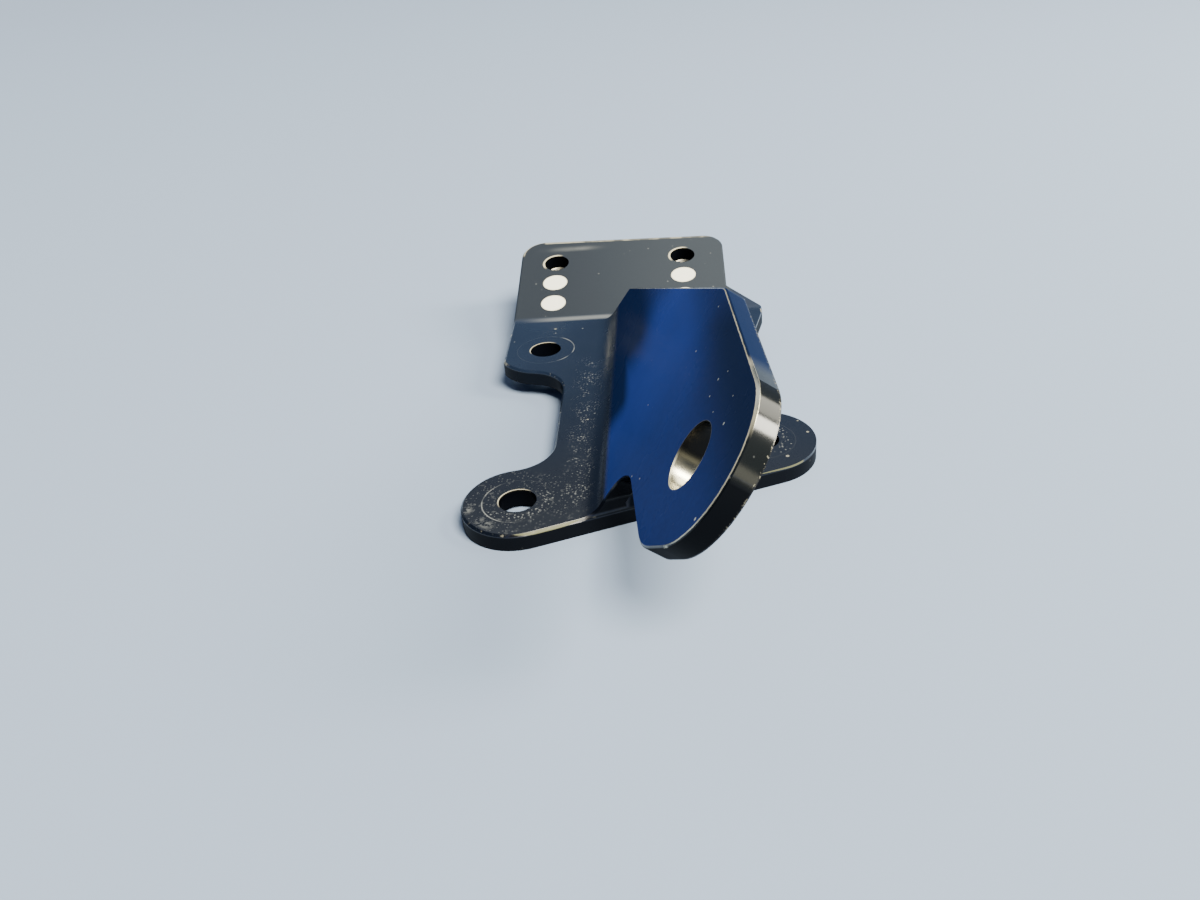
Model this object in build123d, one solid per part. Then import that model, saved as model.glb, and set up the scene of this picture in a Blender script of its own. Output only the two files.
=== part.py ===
# Gas strut bracket: a skewed foot plate with lobes and tabs, a leaning ear, a rear plate bent up, anchor nuts.
# Millimetres. +Z is up, X is to the right, +Y is towards the rear plate.
# The origin is on the underside of the foot, on the axis of the left front bolt hole.

from build123d import *
from math import atan2, cos, degrees, hypot, radians, sin, sqrt, tan
import os

os.makedirs("parts", exist_ok=True)

# Foot plate
foot_t = 2.4
bolt_d = 4.85
lobe_r = 7.35
blend_r = 6.0
left_tab_hole = (0.0, 42.0)
right_lobe_hole = (31.8, 11.6)
right_tab_hole = (26.8, 47.5)
web_left = 3.7
web_right = 25.5
tab_flat = 0.85
tab_left_edge = left_tab_hole[0] - lobe_r + tab_flat
crease_y = 53.0

# Nose of the right tab, where the tab runs out past the rear plate
nose_x = 35.5
nose_front_y = 51.9
nose_flat = 0.8
nose_back = 7.0
nose_r = 0.8

# Rear plate, measured along its own slope from the crease
bend_deg = 12.7
bend_r = 8.0
rear_right = 30.1
rear_len_left = 23.7
rear_fall = 1.4
rear_len_right = rear_len_left - rear_fall
rear_corner_left_r = 4.2
rear_corner_right_r = 3.5

# Ear: a flat slab whose left face meets the foot's top face along a line parallel to Y
ear_root_x = 9.9
ear_lean_deg = 54.4
ear_t = 2.8
ear_back_y = 52.0
ear_back_rise = 6.8
ear_back_corner_r = 0.8
ear_top_corner = (7.7, 29.9)
ear_top_corner_r = 5.0
ear_hole = (-17.45, 20.9)
ear_hole_d = 8.0
ear_end = (-19.7, 22.4)
ear_end_r = 10.1
ear_low_corner = (-22.4, 11.0)
ear_low_corner_r = 8.0
ear_low_slope_deg = 8.7
ear_low_back_y = 7.0
root_left_r = 3.2
root_right_r = 0.6
notch_r = 4.6

# Edges
edge_break = 0.3

# Anchor nuts and their rivets; the nuts keep their distance from the rear plate's back edge
nut_to_back_edge = 7.2
nut_along = rear_len_left - nut_to_back_edge
nut_x = (0.1, 22.8)
rear_hole_d = 4.3
rivet_pitch = 5.9
rivet_head_d = 4.3
rivet_head_h = 0.95
rivet_shank_d = 2.4
rivet_shop_d = 3.6
rivet_shop_h = 0.7
lug_t = 1.1
lug_w = 5.4
nut_flange_d = 9.2
nut_barrel_d = 6.6
nut_h = 6.6
nut_top_d = 5.6
nut_thread_d = 3.5
nut_lead = 0.45

front_skew = atan2(right_lobe_hole[1], right_lobe_hole[0])
far = 200.0


def disc(centre, r):
    return Pos(*centre) * Circle(r)


def area(*points):
    return make_face(Polyline(*points, close=True))


def prism(sketch, low, high):
    return Pos(0, 0, low) * extrude(sketch, high - low)


def near_edges(solid, test):
    return [e for e in solid.edges() if test(e)]


def round_corner(sketch, corner, r):
    return fillet(sketch.vertices().sort_by_distance(corner)[0], r)


def touch_point(start, centre, r, side):
    """Where a line from start touches the circle: side 1 is anticlockwise of the start, -1 clockwise."""
    gap = hypot(start[0] - centre[0], start[1] - centre[1])
    turn = atan2(start[1] - centre[1], start[0] - centre[0]) + side * atan2(sqrt(gap**2 - r**2), r)
    return (centre[0] + r * cos(turn), centre[1] + r * sin(turn))


# Planes of the rear plate and the ear
bend = radians(bend_deg)
rear_plane = Plane(
    origin=(0, crease_y, foot_t), x_dir=(1, 0, 0), z_dir=(0, -sin(bend), cos(bend))
)
lean = radians(ear_lean_deg)
ear_plane = Plane(
    origin=(ear_root_x, 0, foot_t), x_dir=(0, 1, 0), z_dir=(sin(lean), 0, -cos(lean))
)

# Side section of the foot and the rear plate, drawn out across the full width
rear_len = max(rear_len_left, rear_len_right) + 2
miter = foot_t * tan(bend / 2)
section_points = [
    (-far / 4, 0),
    (crease_y + miter, 0),
    (crease_y + foot_t * sin(bend) + rear_len * cos(bend), foot_t * (1 - cos(bend)) + rear_len * sin(bend)),
    (crease_y + rear_len * cos(bend), foot_t + rear_len * sin(bend)),
    (crease_y, foot_t),
    (-far / 4, foot_t),
]
section = Plane.YZ * area(*section_points)
strip = Pos(-far / 4, 0, 0) * extrude(section, far / 2)


def on_crease(e):
    c = e.center()
    return abs(e.length - far / 2) < 0.01 and abs(c.Y - crease_y) < miter + 0.01


valley = near_edges(strip, lambda e: on_crease(e) and e.center().Z > foot_t / 2)
strip = fillet(valley, bend_r)
ridge = near_edges(strip, lambda e: on_crease(e) and e.center().Z < foot_t / 2)
strip = fillet(ridge, bend_r + foot_t)

# Plan outline of the foot
ux, uy = cos(front_skew), sin(front_skew)
front_a = (lobe_r * uy, -lobe_r * ux)
front_b = (right_lobe_hole[0] + lobe_r * uy, right_lobe_hole[1] - lobe_r * ux)
foot_back = crease_y + 0.3
web = area(
    front_a,
    front_b,
    right_lobe_hole,
    (web_right, right_lobe_hole[1]),
    (web_right, foot_back),
    (web_left, foot_back),
    (web_left, 0),
    (0, 0),
)
left_tab = disc(left_tab_hole, lobe_r) + area(
    (tab_left_edge, left_tab_hole[1]),
    (web_left + 1, left_tab_hole[1]),
    (web_left + 1, foot_back),
    (tab_left_edge, foot_back),
)
left_tab = left_tab - Pos(tab_left_edge - far / 2, 0) * Rectangle(far, far)

# Line from the nose down to the right tab's round end, tangent to it
nose = (nose_x, nose_front_y)
right_tab = disc(right_tab_hole, lobe_r) + area(
    right_tab_hole,
    touch_point(nose, right_tab_hole, lobe_r, -1),
    nose,
    (nose_x, foot_back),
    (web_right - 1, foot_back),
    (web_right - 1, right_tab_hole[1]),
)
foot_plan = web + disc((0, 0), lobe_r) + disc(right_lobe_hole, lobe_r) + left_tab + right_tab
foot_cut = prism(foot_plan, -1, far / 8)


def upright_at(solid, x, y, reach=0.3):
    return near_edges(
        solid,
        lambda e: abs(e.tangent_at(0.5).Z) > 0.99
        and hypot(e.center().X - x, e.center().Y - y) < reach,
    )


def web_meets_disc(centre, edge_x, side):
    return (edge_x, centre[1] + side * sqrt(lobe_r**2 - (edge_x - centre[0]) ** 2))


inner_corners = [
    web_meets_disc((0, 0), web_left, 1),
    web_meets_disc(left_tab_hole, web_left, -1),
    web_meets_disc(right_lobe_hole, web_right, 1),
    web_meets_disc(right_tab_hole, web_right, -1),
]
for corner in inner_corners:
    foot_cut = fillet(upright_at(foot_cut, *corner), blend_r)

# Outline of the rear plate on its own plane
rear_outline = area(
    (tab_left_edge, -foot_t),
    (nose_x, -foot_t),
    (nose_x, nose_flat),
    (rear_right, nose_back),
    (rear_right, rear_len_right),
    (tab_left_edge, rear_len_left),
)
rear_outline = round_corner(rear_outline, (tab_left_edge, rear_len_left), rear_corner_left_r)
rear_outline = round_corner(rear_outline, (rear_right, rear_len_right), rear_corner_right_r)
rear_outline = round_corner(rear_outline, (rear_right, nose_back), nose_r)
rear_outline = round_corner(rear_outline, (nose_x, nose_flat), nose_r)
rear_cut = rear_plane * prism(rear_outline, -foot_t * 3, foot_t * 3)
behind_split = Pos(0, foot_back + far / 2, 0) * Box(far, far, far)

plate = (strip & foot_cut) + (strip & rear_cut & behind_split)

# Ear outline on the ear plane: x runs along the root, y runs up the slope from the root
low_rise = tan(radians(ear_low_slope_deg))


def low_edge(y):
    return (y, ear_low_corner[1] - (y - ear_low_corner[0]) * low_rise)


root_sink = -0.4
ear_poly = area(
    (ear_back_y, root_sink),
    (ear_back_y, ear_back_rise),
    ear_top_corner,
    touch_point(ear_top_corner, ear_end, ear_end_r, 1),
    ear_end,
    touch_point(ear_low_corner, ear_end, ear_end_r, -1),
    ear_low_corner,
    low_edge(ear_low_back_y),
    (ear_low_back_y, root_sink),
)
ear_poly = round_corner(ear_poly, ear_top_corner, ear_top_corner_r)
ear_poly = round_corner(ear_poly, (ear_back_y, ear_back_rise), ear_back_corner_r)
ear_poly = round_corner(ear_poly, ear_low_corner, ear_low_corner_r)
ear_reach = extrude(ear_poly + disc(ear_end, ear_end_r), ear_t)
ear_foot = extrude(
    area(
        (ear_low_back_y + 1, root_sink),
        low_edge(ear_low_back_y + 1),
        low_edge(-far / 20),
        (-far / 20, root_sink),
    ),
    ear_t,
)
behind_front = Pos(*front_a, -far / 4) * (
    Rotation(0, 0, degrees(front_skew)) * Pos(0, far / 2, far / 4) * Box(far, far, far)
)
ear = ear_plane * ear_reach + (ear_plane * ear_foot & behind_front)
body = plate + ear

# Root fillets on both sides of the ear, then the fillet inside the notch at the front
root_right_x = ear_root_x + ear_t / sin(lean)


def along_y_at(x):
    return lambda e: (
        abs(e.center().X - x) < 0.02
        and abs(e.center().Z - foot_t) < 0.02
        and abs(e.tangent_at(0.5).Y) > 0.99
        and e.length > 5
    )


notch_edges = near_edges(
    body,
    lambda e: abs(e.length - ear_t) < ear_t / 2
    and 5 < (ear_plane.to_local_coords(e.center())).Y < 12
    and -8 < (ear_plane.to_local_coords(e.center())).X < 2
    and abs(ear_plane.to_local_coords(e.center()).Z - ear_t / 2) < 0.4,
)
body = fillet(notch_edges, notch_r)
body = fillet(near_edges(body, along_y_at(ear_root_x)), root_left_r)
body = fillet(near_edges(body, along_y_at(root_right_x)), root_right_r)

# Bolt holes through the foot, stud hole through the ear, nut holes through the rear plate
for hole in [(0, 0), left_tab_hole, right_lobe_hole, right_tab_hole]:
    body -= prism(disc(hole, bolt_d / 2), -1, foot_t + 1)
body -= ear_plane * prism(disc(ear_hole, ear_hole_d / 2), -1, ear_t + 1)

rivet_spots = [nut_along - rivet_pitch * (i + 1) for i in range(2)]
for x in nut_x:
    body -= rear_plane * prism(disc((x, nut_along), rear_hole_d / 2), -foot_t - 1, 1)
    for v in rivet_spots:
        head = Cone(
            rivet_shank_d / 2, rivet_head_d / 2, rivet_head_h, align=(Align.CENTER, Align.CENTER, Align.MAX)
        )
        body -= rear_plane * (Pos(x, v, 0) * head)
        body -= rear_plane * prism(disc((x, v), rivet_shank_d / 2), -foot_t - 1, 0.5)

# Broken edges: one run starts at the front edge and goes round the ear, the other goes round the rear plate
edge_starts = [
    (front_a[0] + 3 * ux, front_a[1] + 3 * uy, foot_t),
    tuple(rear_plane.from_local_coords((rear_right / 2, (rear_len_left + rear_len_right) / 2, 0))),
]
for point in edge_starts:
    body = chamfer(body.edges().sort_by_distance(point)[0], edge_break)

export_step(body, "parts/bracket_body.step")

# One lug anchor nut, hung under the rear plate, with the lug towards the crease
lug_end = rivet_spots[-1]


def anchor_nut(x):
    strap = disc((x, nut_along), nut_flange_d / 2)
    strap += Pos(x, (nut_along + lug_end) / 2) * Rectangle(lug_w, nut_along - lug_end)
    strap += disc((x, lug_end), lug_w / 2)
    nut = prism(strap, -foot_t - lug_t, -foot_t)
    nut += prism(disc((x, nut_along), nut_barrel_d / 2), -foot_t - nut_h * 0.62, -foot_t)
    crown = Cone(
        nut_top_d / 2, nut_barrel_d / 2, nut_h * 0.38, align=(Align.CENTER, Align.CENTER, Align.MAX)
    )
    nut += Pos(x, nut_along, -foot_t - nut_h * 0.62) * crown
    nut -= prism(disc((x, nut_along), nut_thread_d / 2), -foot_t - nut_h - 1, -foot_t + 1)
    lead = Cone(
        nut_thread_d / 2, nut_thread_d / 2 + nut_lead, nut_lead, align=(Align.CENTER, Align.CENTER, Align.MAX)
    )
    nut -= Pos(x, nut_along, -foot_t) * lead
    for v in rivet_spots:
        nut -= prism(disc((x, v), rivet_shank_d / 2), -foot_t - lug_t - 1, -foot_t + 1)
    return rear_plane * nut


# Flush rivets: a countersunk head level with the top face, a shank, a formed button under the lug
def rivet(x, v):
    grip = foot_t + lug_t
    head = Cone(
        rivet_shank_d / 2, rivet_head_d / 2, rivet_head_h, align=(Align.CENTER, Align.CENTER, Align.MAX)
    )
    pin = Pos(x, v, 0) * head + prism(disc((x, v), rivet_shank_d / 2), -grip, -rivet_head_h)
    shop = prism(disc((x, v), rivet_shop_d / 2), -grip - rivet_shop_h, -grip)
    shop_rim = shop.edges().group_by(Axis.Z)[0]
    return rear_plane * (pin + fillet(shop_rim, rivet_shop_h * 0.45))


for side, x in zip(("left", "right"), nut_x):
    export_step(anchor_nut(x), f"parts/anchor_nut_{side}.step")
    export_step(Compound(children=[rivet(x, v) for v in rivet_spots]), f"parts/rivets_{side}.step")
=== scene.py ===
import functools
import math

import bmesh
import bpy
from mathutils import Matrix, Vector

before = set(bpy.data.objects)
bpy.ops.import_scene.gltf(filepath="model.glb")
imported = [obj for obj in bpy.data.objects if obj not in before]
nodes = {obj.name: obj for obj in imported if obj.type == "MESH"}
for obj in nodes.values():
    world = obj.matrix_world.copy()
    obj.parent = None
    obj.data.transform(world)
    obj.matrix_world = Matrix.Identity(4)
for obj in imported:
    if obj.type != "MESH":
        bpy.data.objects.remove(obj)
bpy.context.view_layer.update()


# Camera: the photograph's own place and lens, in front of the bracket and a little to the right.
# The directions are the line of sight and the camera's up, in the bracket's frame.
MM = 0.001
camera_at = Vector((21.7445, -108.0688, 78.2282)) * MM
sight = Vector((-0.08218, 0.84070, -0.53523)).normalized()
camera_up = Vector((0.05016, 0.53986, 0.84026))
camera_right = sight.cross(camera_up).normalized()
camera_up = camera_right.cross(sight)
lens_data = bpy.data.cameras.new("camera")
lens_data.sensor_fit = "HORIZONTAL"
lens_data.sensor_width = 36
lens_data.lens = 31.324
lens_data.clip_start = 0.001
camera = bpy.data.objects.new("camera", lens_data)
turn = Matrix((camera_right, camera_up, -sight)).transposed().to_4x4()
camera.matrix_world = Matrix.Translation(camera_at) @ turn
bpy.context.scene.collection.objects.link(camera)
bpy.context.scene.camera = camera


# Bracket body: one aluminium part, milled from the solid and coated in a thin semi gloss black.
# The coat is dusty on the foot, shows washer marks round the bolt holes, and is worn through to warm
# bright metal in the stud hole and along the broken edges.
# Painted light on the body: the ear's blue and the rear plate's grey sheen are painted reflections, the
# crease line, the holes' lips and the lobes' front crescents carry painted highlights, and the holes, upright
# walls, ear edge and bend carry painted shade.
class Field:
    """A value at each point of a surface. Arithmetic on it adds the material's maths nodes."""

    def __init__(self, tree, socket=None):
        self.tree = tree
        self.socket = socket

    def make(self, kind, values=(), out=0, **settings):
        """Adds a node: its settings first, then values or links for its sockets, by place or by name."""
        node = self.tree.nodes.new(kind)
        for name, value in settings.items():
            setattr(node, name, value)
        pairs = values.items() if isinstance(values, dict) else enumerate(values)
        for key, value in pairs:
            if isinstance(value, Field):
                self.tree.links.new(value.socket, node.inputs[key])
            else:
                node.inputs[key].default_value = value
        return Field(self.tree, node.outputs[out])

    def beside(self, out):
        """Another output of the node that this value comes from."""
        return Field(self.tree, self.socket.node.outputs[out])

    def maths(self, operation, *values):
        return self.make("ShaderNodeMath", values, operation=operation)

    def __add__(self, other):
        return self.maths("ADD", self, other)

    def __radd__(self, other):
        return self.maths("ADD", other, self)

    def __sub__(self, other):
        return self.maths("SUBTRACT", self, other)

    def __rsub__(self, other):
        return self.maths("SUBTRACT", other, self)

    def __mul__(self, other):
        return self.maths("MULTIPLY", self, other)

    def __rmul__(self, other):
        return self.maths("MULTIPLY", other, self)

    def __truediv__(self, other):
        return self.maths("DIVIDE", self, other)

    def at_most(self, other):
        return self.maths("MINIMUM", self, other)

    def at_least(self, other):
        return self.maths("MAXIMUM", self, other)

    def rise(self, start, end):
        """0 before start and 1 after end, smooth between; start may be the larger one."""
        ends = {"Value": self, "From Min": start, "From Max": end}
        return self.make("ShaderNodeMapRange", ends, interpolation_type="SMOOTHSTEP")

    def between(self, low, high, soft):
        """1 from low to high and 0 outside, with an edge of twice the soft width."""
        return self.rise(low - soft, low + soft) * self.rise(high + soft, high - soft)

    def length(self, other):
        """Distance from zero of the point that has this value and the other as its two sides."""
        return self.maths("SQRT", self * self + other * other)

    def angle(self, other):
        """Angle of the point that has the other value along its first side and this one along its second."""
        return self.maths("ARCTAN2", self, other)

    def wave(self):
        return self.maths("SINE", self)

    def noise(self, scale, detail):
        """Noise on this vector, with scale in patches per metre."""
        return self.make("ShaderNodeTexNoise", {"Vector": self, "Scale": scale, "Detail": detail})

    def specks(self, per_metre, size, share):
        """Small round specks on this vector: how many along a metre, their size and share in cells."""
        cells = self.make("ShaderNodeTexVoronoi", {"Vector": self, "Scale": per_metre})
        lot = self.make("ShaderNodeSeparateColor", (cells.beside("Color"),))
        return cells.rise(size, size * 0.55) * lot.rise(share, share - 0.04)

    def tint(self, dark, light):
        """The dark colour where this value is 0, the light one where it is 1."""
        values = {"Factor": self, 6: as_colour(dark), 7: as_colour(light)}
        return self.make("ShaderNodeMix", values, 2, data_type="RGBA")

    def bumped(self, strength, distance):
        """The surface's own direction, roughened by this height, with the distance in metres."""
        return self.make("ShaderNodeBump", {"Strength": strength, "Distance": distance, "Height": self})


def as_colour(value):
    return value if isinstance(value, Field) else (*value, 1)


def most(fields):
    """The largest of several fields at each point."""
    return functools.reduce(Field.at_least, fields)


def new_material(name):
    """A material with its main shader, and the point being shaded in the bracket's frame."""
    material = bpy.data.materials.new(name)
    material.use_nodes = True
    tree = material.node_tree
    place = Field(tree).make("ShaderNodeTexCoord", out="Object")
    return material, tree.nodes["Principled BSDF"], place


def in_mm(place):
    """The three distances of a point in millimetres."""
    parts = place.make("ShaderNodeSeparateXYZ", (place,))
    return [parts.beside(axis) * 1000 for axis in ("X", "Y", "Z")]


def feed(shader, **sockets):
    """Sets a shader's sockets, named with underscores, to values or links."""
    for name, value in sockets.items():
        socket = shader.inputs[name.replace("_", " ")]
        if isinstance(value, Field):
            value.tree.links.new(value.socket, socket)
        else:
            socket.default_value = value


def give(node_name, material):
    """Makes this the only material of a piece."""
    node = nodes[node_name]
    node.data.materials.clear()
    node.data.materials.append(material)


black, coat, place = new_material("black_coat")
x_mm, y_mm, z_mm = in_mm(place)

# Distances on the ear, from its root line: along the root it is y_mm, then up the slope, then into the slab
ear_root, ear_thick, foot_top = 9.9, 2.8, 2.4
lean = math.radians(54.4)
from_root = x_mm - ear_root
over_foot = z_mm - foot_top
slope = from_root * math.cos(lean) + over_foot * math.sin(lean)
depth = from_root * math.sin(lean) - over_foot * math.cos(lean)
on_ear = z_mm.rise(4.0, 4.6) * depth.between(-0.4, ear_thick + 0.4, 0.05) * y_mm.rise(52.7, 52.3)

# Distances on the rear plate, from the crease: back along the plate, then out of its top face
crease = 53.0
bend = math.radians(12.7)


def on_plate(y, z):
    """Distance from the crease along the rear plate's slope, and height over its top face."""
    past_crease = y - crease
    height = z - foot_top
    along = past_crease * math.cos(bend) + height * math.sin(bend)
    above = height * math.cos(bend) - past_crease * math.sin(bend)
    return along, above


along, above_rear = on_plate(y_mm, z_mm)
on_rear = (y_mm - crease).rise(-0.2, 1.2)
on_foot = (1 - on_rear) * (1 - on_ear)
top_of_foot = over_foot.rise(-0.2, -0.02) * on_foot
top_of_rear = above_rear.rise(-0.2, -0.02) * on_rear
below_top = 0 - over_foot

cloudy = place.noise(95, 4)
patchy = place.noise(420, 3)
grainy = place.noise(1500, 4)
dashed = place.noise(2300, 2)
fine = place.noise(3300, 2)
ragged = (grainy - 0.5) * 1.8


def in_plan(x, y):
    """Distance on the foot from a point."""
    return (x_mm - x).length(y_mm - y)


def on_face(y, up):
    """Distance on the ear's face from a point."""
    return (y_mm - y).length(slope - up)


def hole_wall(reach, r):
    """The wall of a round hole, from a little outside it, since the mesh cuts its corners."""
    return reach.rise(r + 0.06, r + 0.02)


# The foot's bolt holes: walls painted near black in shade, bare lips with a painted highlight on their side
# behind and to the left, and washer marks, which show best at the front left of a lobe's hole and at the
# right of a tab's
bolt_r, washer_r = 2.425, 4.6
marked_front_left, marked_right = (-0.94, -0.34), (1.0, 0.0)
right_lobe = (31.8, 11.6)
bolt_holes = [
    ((0.0, 0.0), marked_front_left),
    ((0.0, 42.0), marked_right),
    (right_lobe, marked_front_left),
    ((26.8, 47.5), marked_right),
]
walls = []
lip_highlights = []
marks = []
for hole, marked_side in bolt_holes:
    right_by, back_by = x_mm - hole[0], y_mm - hole[1]
    reach = right_by.length(back_by)
    walls.append(hole_wall(reach, bolt_r) * on_foot)
    # The side of each lip behind and to the left is painted bright: a painted highlight
    lit = (back_by * 0.75 - right_by * 0.66) / bolt_r
    lip_highlights.append(reach.rise(bolt_r + 0.24, bolt_r + 0.12) * lit.rise(0.1, 0.8) * top_of_foot)
    ring = reach.between(washer_r - 0.06, washer_r + 0.08, 0.05) * top_of_foot
    towards = (right_by * marked_side[0] + back_by * marked_side[1]) / washer_r
    marks.append(ring * (0.04 + towards.rise(0.05, 0.8) * patchy.rise(0.36, 0.6) * 0.9))

# The stud hole is bare metal with painted light and shade on its wall, bright low at its front and near black
# higher up, and a painted highlight on its low lip; the two screw holes in the rear plate are painted dark in
# shade, with painted highlights on the lit side of their lips
stud_y, stud_up, stud_r = -17.45, 20.9, 4.0
from_stud = on_face(stud_y, stud_up)
bare = hole_wall(from_stud, stud_r) * on_ear
# A painted highlight on the stud hole's low lip
lip_highlights.append(from_stud.rise(stud_r + 0.16, stud_r + 0.08) * on_ear * (slope - stud_up).rise(3.5, -1.0))
wall_light = ((stud_up - slope) * 0.8 + (stud_y - y_mm) * 0.6).rise(-1.2, 2.6)
nuts_x, nuts_along, screw_r = (0.1, 22.8), 16.5, 2.15
for hole_x in nuts_x:
    right_by, back_by = x_mm - hole_x, along - nuts_along
    reach = right_by.length(back_by)
    walls.append(hole_wall(reach, screw_r) * on_rear)
    # Painted highlights on the lit side of the screw holes' lips
    lit = (back_by * 0.6 - right_by * 0.8) / screw_r
    lip_highlights.append(reach.rise(screw_r + 0.47, screw_r + 0.25) * lit.rise(0.15, 0.75) * top_of_rear)
hole_walls = most(walls)
lip_highlights = most(lip_highlights)
marks = most(marks)


def broken_edge(inward):
    """The band of a broken edge, by its distance inward from the face beside it."""
    edge_break, soft = 0.3, 0.03
    return inward.between(soft, edge_break - soft, soft)


def spots(distance, points, core):
    """Round spots, each with its own radius, solid out to a core share of that radius."""
    return most([distance(a, b).rise(size, size * core) for a, b, size in points])


# Worn edges. The foot's broken edge is rubbed along the front of both lobes and nowhere else whole, and that
# rubbed crescent carries a painted highlight
lobe_r, crescent = 7.35, 0.38
skew = math.atan2(right_lobe[1], right_lobe[0])
foot_break = broken_edge(below_top) * on_foot * (1 - bare)
along_front = x_mm * math.cos(skew) + y_mm * math.sin(skew)
before_front = y_mm * math.cos(skew) - x_mm * math.sin(skew) + lobe_r
on_front = before_front.rise(0.8, 0.5)
left_taper = along_front.rise(-3.5, 1.0) * along_front.rise(8.0, 3.0)
right_taper = along_front.rise(26.0, 36.0) * along_front.rise(41.5, 39.0)
front_taper = left_taper.at_least(right_taper * 0.8)
wear_width = front_taper * crescent
# A rubbed crescent on the front edge, painted bright where the highlight falls on it
front_wear_highlight = below_top.rise(wear_width + 0.04, wear_width) * below_top.rise(0.0, 0.04)
front_wear_highlight = front_wear_highlight * on_front * front_taper.rise(0.05, 0.3) * on_foot
foot_nicks = [(-6.3, 38.5, 1.0), (-6.7, 48.2, 0.6), (38.4, 13.2, 0.5), (39.0, 11.3, 0.6), (35.0, 52.0, 0.8)]
foot_worn = foot_break * (spots(in_plan, foot_nicks, 0.5) + grainy.rise(0.6, 0.7) * 0.2)

# The rear plate's back rim is bare round the left corner and only dull further right
left_edge, rim_along, rim_fall = -6.5, 23.15, 0.038
corner_x, corner_along = -2.3, 19.5
to_rim = rim_along - (x_mm - left_edge) * rim_fall - along
from_corner = (x_mm - corner_x).length(along - corner_along)
rim = to_rim.rise(0.3, 0.1) * x_mm.rise(-2.6, -2.0)
rim = rim.at_least(from_corner.rise(3.6, 3.8) * x_mm.rise(-2.0, -2.6) * along.rise(19.0, 20.0))
rim_share = x_mm.rise(5.0, -1.0) * 0.8 + 0.1 + 0.35 * patchy.rise(0.42, 0.6)
rear_worn = rim * on_rear * rim_share * above_rear.rise(-0.35, -0.25)

# The ear's outline on its left face is worn from its top bend to its low end, widest round the turn
wide_wear = y_mm.between(-24.5, -14.5, 2.0) * slope.rise(25.0, 28.0)
free_edge = slope.rise(15.5, 18.0) * y_mm.rise(9.0, 6.0)
off_face = on_ear * depth.rise(0.005, 0.03)
thin_line = (depth + ragged * 0.05).between(0.05, 0.12, 0.03) * off_face
wide_line = (depth + ragged * 0.06).between(0.04, 0.36, 0.04) * off_face
ear_worn = thin_line * free_edge * (0.35 + 0.5 * patchy.rise(0.35, 0.6))
ear_worn = ear_worn.at_least(wide_wear * wide_line)
ear_break = broken_edge(depth) * on_ear
top_dots = ear_break * y_mm.rise(8.0, 10.0) * fine.rise(0.52, 0.64) * 0.3
low_nick = on_face(-27.7, 15.4).rise(1.0, 0.5) * ear_break * grainy.rise(0.38, 0.5)
outer_break = broken_edge(ear_thick - depth) * on_ear
outer_worn = outer_break * slope.rise(20.0, 24.0) * y_mm.rise(4.0, 0.0) * fine.rise(0.54, 0.64) * 0.3

# Bare scuffs on the left lobe, and small chips on the ear's face and the foot
scuff = ((x_mm + 6.2).length((y_mm + 1.6) * 0.75) + ragged * 1.6).rise(1.0, 0.2)
scuff_y = y_mm + 4.6
scuff_wide = ((x_mm + 3.7 + scuff_y * 0.5).length(scuff_y * 0.9) + ragged * 1.6).rise(1.5, 0.5)
scuff = scuff.at_least(scuff_wide) * grainy.rise(0.42, 0.58) * over_foot.rise(-0.4, -0.1) * on_foot
ear_chips = [
    (5.0, 28.3, 0.16), (1.8, 23.3, 0.17), (-10.4, 26.8, 0.2), (-11.3, 28.5, 0.13), (-11.5, 25.1, 0.15),
    (-16.9, 28.8, 0.13), (-19.6, 26.9, 0.24), (-28.9, 21.2, 0.26), (-9.5, 11.0, 0.17), (-6.8, 9.2, 0.16),
    (4.7, 12.7, 0.13), (-17.1, 24.7, 0.15), (-15.2, 25.4, 0.12),
]
foot_chips = [(38.2, 13.0, 0.22), (34.9, 7.3, 0.26), (1.0, 49.4, 0.26), (37.2, 16.0, 0.15), (8.0, 19.3, 0.18)]
chips = spots(on_face, ear_chips, 0.45) * depth.rise(0.06, 0.02) * on_ear
chips = chips.at_least(spots(in_plan, foot_chips, 0.45) * over_foot.rise(-0.2, -0.05) * on_foot)

worn = (foot_worn + rear_worn + ear_worn + top_dots + low_nick + outer_worn).at_most(1)
metal = bare.at_least(worn).at_least(chips * 0.9)

# Dust: a drift of specks beside the ear's root, a haze on the lobe, and short dashes inside the washer mark;
# mixed in with it is a painted highlight along the crease
dots = place.specks(2500, 0.36, 0.62)
drift = x_mm.between(6.2, 8.8, 1.4) * y_mm.between(-3.0, 36.0, 4.0) * on_foot * over_foot.rise(-0.1, 0.0)
drift = drift * (dots + fine.rise(0.58, 0.7) * 0.6) * patchy.rise(0.4, 0.58)
left_reach = in_plan(0.0, 0.0)
front_right = (x_mm * 0.5 - y_mm * 0.87) / 4.0
dashes = left_reach.between(2.9, 4.3, 0.25) * front_right.rise(-0.5, 0.6) * on_foot
dashes = dashes * (dots + dashed.rise(0.58, 0.68) * 0.6)
lobe_dust = left_reach.between(2.7, 7.0, 0.4) * (dots * 0.35 + grainy.rise(0.6, 0.7) * 0.3) * on_foot
right_dashes = in_plan(*right_lobe).between(2.9, 4.4, 0.3) * (x_mm - right_lobe[0]).rise(1.0, 2.4)
right_dashes = right_dashes * dots * on_foot
thin_dust = place.specks(900, 0.16, 0.1) * (1 - 0.6 * on_ear)
smudge = along.between(20.2, 21.2, 0.6) * x_mm.between(-1.5, 7.0, 3.0) * cloudy.rise(0.3, 0.8) * on_rear
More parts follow.
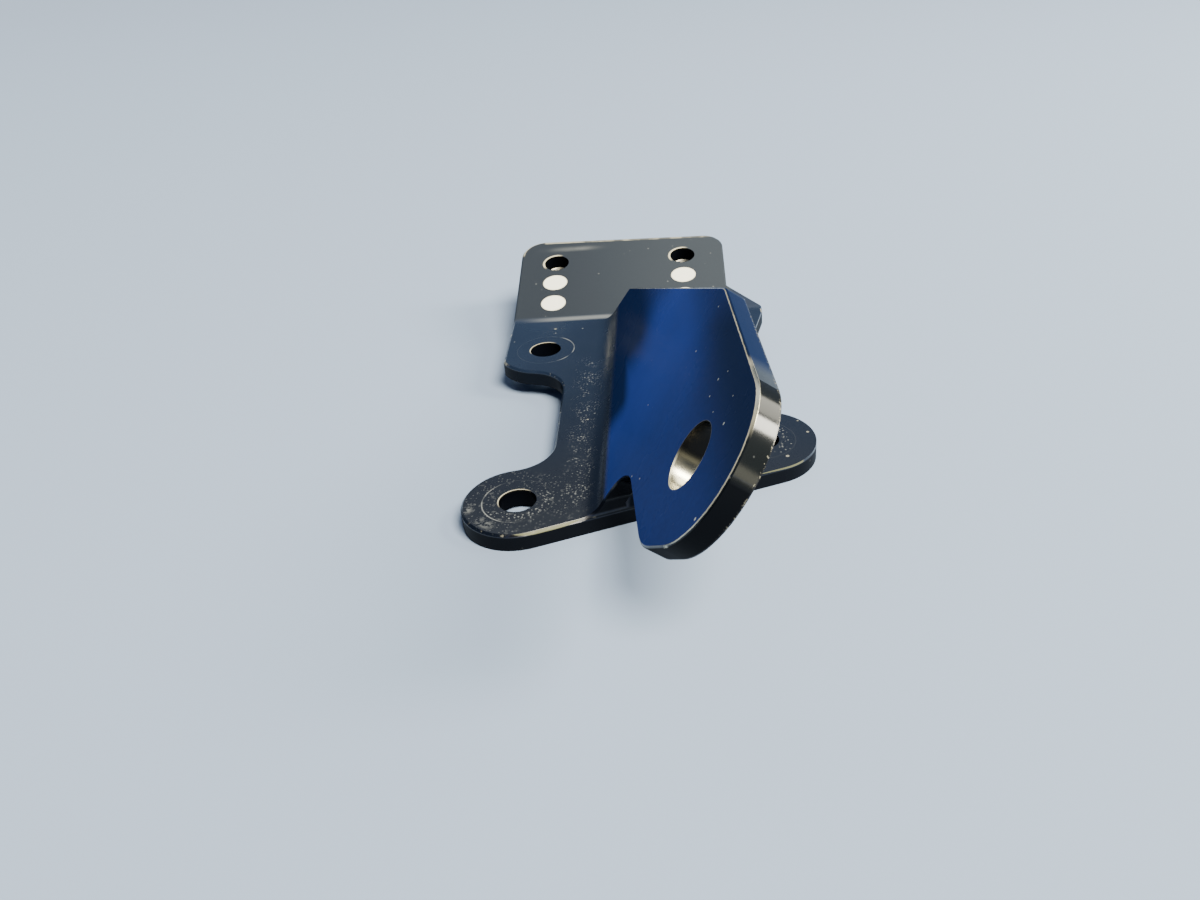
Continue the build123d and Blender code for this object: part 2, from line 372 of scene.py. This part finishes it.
# A painted highlight along the crease, where the bend mirrors a light, given the dust's grey
crease_highlight = along.between(-0.6, 0.5, 0.4) * x_mm.rise(-6.0, 3.0) * x_mm.rise(11.5, 9.5) * over_foot.rise(-0.3, -0.1)
dust_and_sheen = drift * 0.6 + dashes * 0.4 + lobe_dust * 0.4 + right_dashes * 0.4 + marks * 0.65 + thin_dust * 0.4
dust_and_sheen = (dust_and_sheen + smudge * 0.5 + scuff * 0.45 + crease_highlight * 0.42).at_most(1)

# The glossy coat: blacker towards the front and lighter towards the back, a painted sheen, with a painted
# grey sheen on the rear plate that grows to the right and stops short of the nose right of the ear, and
# neutral round the ear's edge
front_black, edge_black = (0.0010, 0.0020, 0.0050), (0.005, 0.006, 0.006)
back_black = cloudy.tint((0.005, 0.010, 0.022), (0.009, 0.016, 0.034))
# A painted grey sheen on the rear plate, growing to the right
rear_sheen = x_mm.rise(-4.0, 30.0).tint((0.007, 0.010, 0.014), (0.021, 0.026, 0.031))
dust_and_sheen_grey, lip_highlight_colour = (0.24, 0.25, 0.24), (0.50, 0.46, 0.33)
band = on_ear * depth.rise(0.1, 0.3) * depth.rise(ear_thick - 0.01, ear_thick - 0.2)
# Painted sheen: lighter towards the back
coat_colour = y_mm.rise(-8.0, 46.0).tint(front_black, back_black)
coat_colour = (on_rear * x_mm.rise(31.2, 30.2)).tint(coat_colour, rear_sheen)
coat_colour = band.tint(coat_colour, edge_black)
# Dust, together with the painted crease highlight
coat_colour = dust_and_sheen.tint(coat_colour, dust_and_sheen_grey)
# The holes' lips take their painted highlight
coat_colour = lip_highlights.tint(coat_colour, lip_highlight_colour)
worn_metal = patchy.tint((0.52, 0.48, 0.34), (0.85, 0.81, 0.62))
# The stud hole's wall: painted shade, near black, at its top, and painted light, bright metal, low at its
# front
shaded_wall_metal = wall_light.tint((0.012, 0.011, 0.010), worn_metal)
colour = metal.tint(coat_colour, bare.tint(worn_metal, shaded_wall_metal))
rough = 0.24 + cloudy * 0.06 + on_rear * 0.12 + dust_and_sheen * 0.3 + metal * 0.12 - band * 0.14
relief = grainy * 0.6 + patchy * 0.4 - metal * 0.8
feed(coat, Base_Color=colour, Metallic=metal, Roughness=rough, Normal=relief.bumped(0.12, 0.00004))

# A shader that mirrors nothing, mixed in where reflection and shade are painted: a painted blue reflection on
# the ear's left face and free edge, weaker towards that edge and darkened by painted shade near the bend,
# painted shade, near black, on the upright walls, in the small holes and low on the ear's edge, and the
# painted highlight of the rubbed crescents on the lobes' front edges
upright = below_top.rise(0.3, 0.5) * on_foot
web_end = before_front.rise(0.5, 0.3) * over_foot.rise(0.1, 0.5) * (1 - on_ear)
edge_low = band * slope.rise(27.2, 26.2) * y_mm.rise(-8.0, -12.0)
notch_band = band * slope.rise(13.0, 10.0) * y_mm.rise(8.0, 2.0)
# Painted shade, near black, on the rest of the lobes' front broken edge
front_edge_shade = foot_break * on_front * (1 - front_wear_highlight) * 0.6
edge_shade = edge_low.at_least(notch_band)
painted_black_shade = most([edge_shade * 0.9, upright * 0.8, front_edge_shade, web_end * 0.8, hole_walls * 0.95])
ear_face = on_ear * depth.rise(0.04, 0.0) * slope.rise(1.6, 3.6)
free_band = band * slope.rise(25.0, 29.4) * y_mm.rise(-17.0, -12.0)
# Painted shade on the ear's face near the bend
bend_shade = y_mm.rise(16.0, 29.0) * slope.rise(16.0, 10.0)
bend_shade = bend_shade.at_least(y_mm.rise(9.0, 16.0) * slope.rise(8.5, 6.0))
# The painted blue reflection, weaker towards the free edge, and a painted sheen that brightens it
blue_reach = slope.rise(30.0, 20.0).at_least(y_mm.rise(-4.0, 10.0) * 0.6)
blue_reflection = blue_reach * (1 - bend_shade * 0.9) * (0.35 + cloudy * 0.5 + grainy * 0.5)
blue_sheen = y_mm.rise(-14.0, 14.0) * y_mm.rise(37.0, 24.0) * slope.rise(29.0, 20.0)
blue_sheen = blue_sheen.at_least(slope.rise(9.0, 5.5) * 0.5) * (1 - bend_shade) * (0.55 + cloudy * 0.6)
reflection_dark, reflection_mid, reflection_bright = (0.005, 0.014, 0.052), (0.016, 0.033, 0.160), (0.025, 0.053, 0.270)
band_reflection, shade_black, rubbed_highlight = (0.003, 0.009, 0.036), (0.0012, 0.0015, 0.0025), (0.15, 0.15, 0.08)
painted_blue = blue_sheen.tint(blue_reflection.tint(reflection_dark, reflection_mid), reflection_bright)
painted_blue = free_band.tint(painted_blue, band_reflection)
reflection_and_shade_colour = painted_black_shade.rise(0.0, 0.2).tint(painted_blue, shade_black)
# The rubbed crescents on the lobes' front edges take a painted highlight
reflection_and_shade_colour = front_wear_highlight.tint(reflection_and_shade_colour, rubbed_highlight)
reflection_and_shade_share = most([ear_face * 0.93, free_band * 0.85, painted_black_shade, front_wear_highlight * 0.9]) * (1 - metal)
reflection_and_shade = place.make(
    "ShaderNodeBsdfPrincipled",
    {"Base Color": reflection_and_shade_colour, "Roughness": 0.5, "Specular IOR Level": 0.0},
)
mixed = place.make("ShaderNodeMixShader", (reflection_and_shade_share, Field(place.tree, coat.outputs[0]), reflection_and_shade))
place.tree.links.new(mixed.socket, place.tree.nodes["Material Output"].inputs[0])
give("bracket_body", black)


# Anchor nuts: two one lug nuts of plated steel under the rear plate, each with a turned barrel on a
# stamped flange. They are held by the rivets and show from below only.
steel, nut_shader, nut_place = new_material("plated_steel")
nut_x, nut_y, nut_z = in_mm(nut_place)
nut_along, up_axis = on_plate(nut_y, nut_z)
left_nut, right_nut = nuts_x
halfway = (left_nut + right_nut) / 2
off_axis = nut_x - left_nut - nut_x.rise(halfway - 0.05, halfway + 0.05) * (right_nut - left_nut)
off_back = nut_along - nuts_along
in_bore = off_axis.length(off_back).rise(1.95, 1.85)
thread_pitch, lathe_pitch = 0.794, 0.22
full_turn = 2 * math.pi
thread = (up_axis * (full_turn / thread_pitch) - off_back.angle(off_axis)).wave()
turned = (up_axis * (full_turn / lathe_pitch)).wave()
plating = nut_place.noise(700, 4)
stain = nut_place.noise(180, 3)
nut_colour = stain.rise(0.35, 0.65).tint((0.17, 0.165, 0.145), (0.27, 0.25, 0.19))
nut_relief = plating * 0.25 + turned * (1 - in_bore) * 0.05 + thread * in_bore
feed(
    nut_shader,
    Base_Color=nut_colour,
    Metallic=1.0,
    Roughness=0.34 + plating * 0.2,
    Normal=nut_relief.bumped(0.5, 0.0002),
)
give("anchor_nut_left", steel)
give("anchor_nut_right", steel)


# Rivets: soft alloy pins with flush countersunk heads, driven level with the plate and left uncoated.
# Their heads are the brightest thing on the bracket, slightly pitted, with a thin dark line round them.
alloy, rivet_shader, rivet_place = new_material("rivet_alloy")
rivet_x, rivet_y, rivet_z = in_mm(rivet_place)
rivet_along = on_plate(rivet_y, rivet_z)[0]
rivets_along = (10.6, 4.7)
rim_lines = []
for head_x in nuts_x:
    for head_along in rivets_along:
        out_by = (rivet_x - head_x).length(rivet_along - head_along)
        rim_lines.append(out_by.between(1.98, 2.3, 0.06))
tarnish = rivet_place.noise(900, 3)
head_colour = tarnish.tint((0.94, 0.92, 0.74), (1.0, 0.98, 0.84))
head_colour = (most(rim_lines) * 0.5).tint(head_colour, (0.45, 0.41, 0.28))
feed(
    rivet_shader,
    Base_Color=head_colour,
    Metallic=0.1,
    Roughness=0.45 + tarnish * 0.1,
    Normal=tarnish.bumped(0.15, 0.00004),
)
give("rivets_left", alloy)
give("rivets_right", alloy)


# Floor: a plain pale bench top that meets the bracket at its two front lobes and the right anchor nut,
# on which the bracket rests with its rear plate raised. It is scenery and no piece of the bracket.
half_width = 12.0
bm = bmesh.new()
bmesh.ops.create_grid(bm, x_segments=1, y_segments=1, size=half_width)
floor_data = bpy.data.meshes.new("floor")
bm.to_mesh(floor_data)
bm.free()
floor = bpy.data.objects.new("floor", floor_data)
bpy.context.scene.collection.objects.link(floor)
rest_left = Vector((-0.5, -7.3, 0)) * MM
rest_right = Vector((34.0, 4.6, 0)) * MM
rest_back = Vector((22.8, 68.35, -3.37)) * MM
up = (rest_right - rest_left).cross(rest_back - rest_left).normalized()
floor.matrix_world = Matrix.Translation(rest_left) @ up.to_track_quat("Z", "Y").to_matrix().to_4x4()
pale, floor_shader, _ = new_material("pale_floor")
feed(floor_shader, Base_Color=(0.24, 0.31, 0.43, 1), Roughness=0.8)
floor_data.materials.append(pale)


# Lights: a broad warm key from the front right, as from a wide window, and four soft panels that the coat
# mirrors: a dim wide one behind for the rear plate, a bright one and a side one on the right for the turn
# of the ear's edge, and a dim one before it. The sky is a low blue.
def turned_to(direction):
    """The turn that points a lamp's back along that direction, so that it shines the other way."""
    return Vector(direction).to_track_quat("Z", "Y").to_matrix().to_4x4()


def softbox(name, direction, distance, size, glow, colour, aim):
    """A flat lamp in that direction from the aim point, with its glow as light from each square metre."""
    data = bpy.data.lights.new(name, "AREA")
    data.shape = "RECTANGLE"
    data.size, data.size_y = size
    data.energy = glow * math.pi * size[0] * size[1]
    data.color = colour
    lamp = bpy.data.objects.new(name, data)
    away = Vector(direction).normalized()
    lamp.matrix_world = Matrix.Translation(Vector(aim) * MM + away * distance) @ turned_to(away)
    bpy.context.scene.collection.objects.link(lamp)


key = bpy.data.lights.new("key", "SUN")
key.energy = 11
key.angle = math.radians(28)
key.color = (1, 0.95, 0.82)
key_lamp = bpy.data.objects.new("key", key)
key_lamp.matrix_world = turned_to((0.38, -0.43, 0.82))
bpy.context.scene.collection.objects.link(key_lamp)
rear_middle, ear_end = (12, 64, 5), (21, -22, 22)
softbox("rear_panel", (-0.06, 0.66, 0.75), 0.8, (0.9, 0.24), 1.7, (0.90, 0.96, 1), rear_middle)
softbox("edge_panel", (0.84, 0.09, 0.53), 0.6, (0.17, 0.24), 45, (1, 0.96, 0.82), ear_end)
softbox("side_panel", (0.76, 0.49, 0.43), 0.6, (0.22, 0.18), 7, (1, 0.96, 0.80), ear_end)
softbox("front_panel", (0.60, -0.77, 0.20), 0.6, (0.10, 0.24), 2.5, (1, 0.95, 0.70), ear_end)
world = bpy.data.worlds.new("world")
world.use_nodes = True
sky = world.node_tree.nodes["Background"]
sky.inputs["Color"].default_value = (0.30, 0.43, 0.72, 1)
sky.inputs["Strength"].default_value = 0.26
bpy.context.scene.world = world
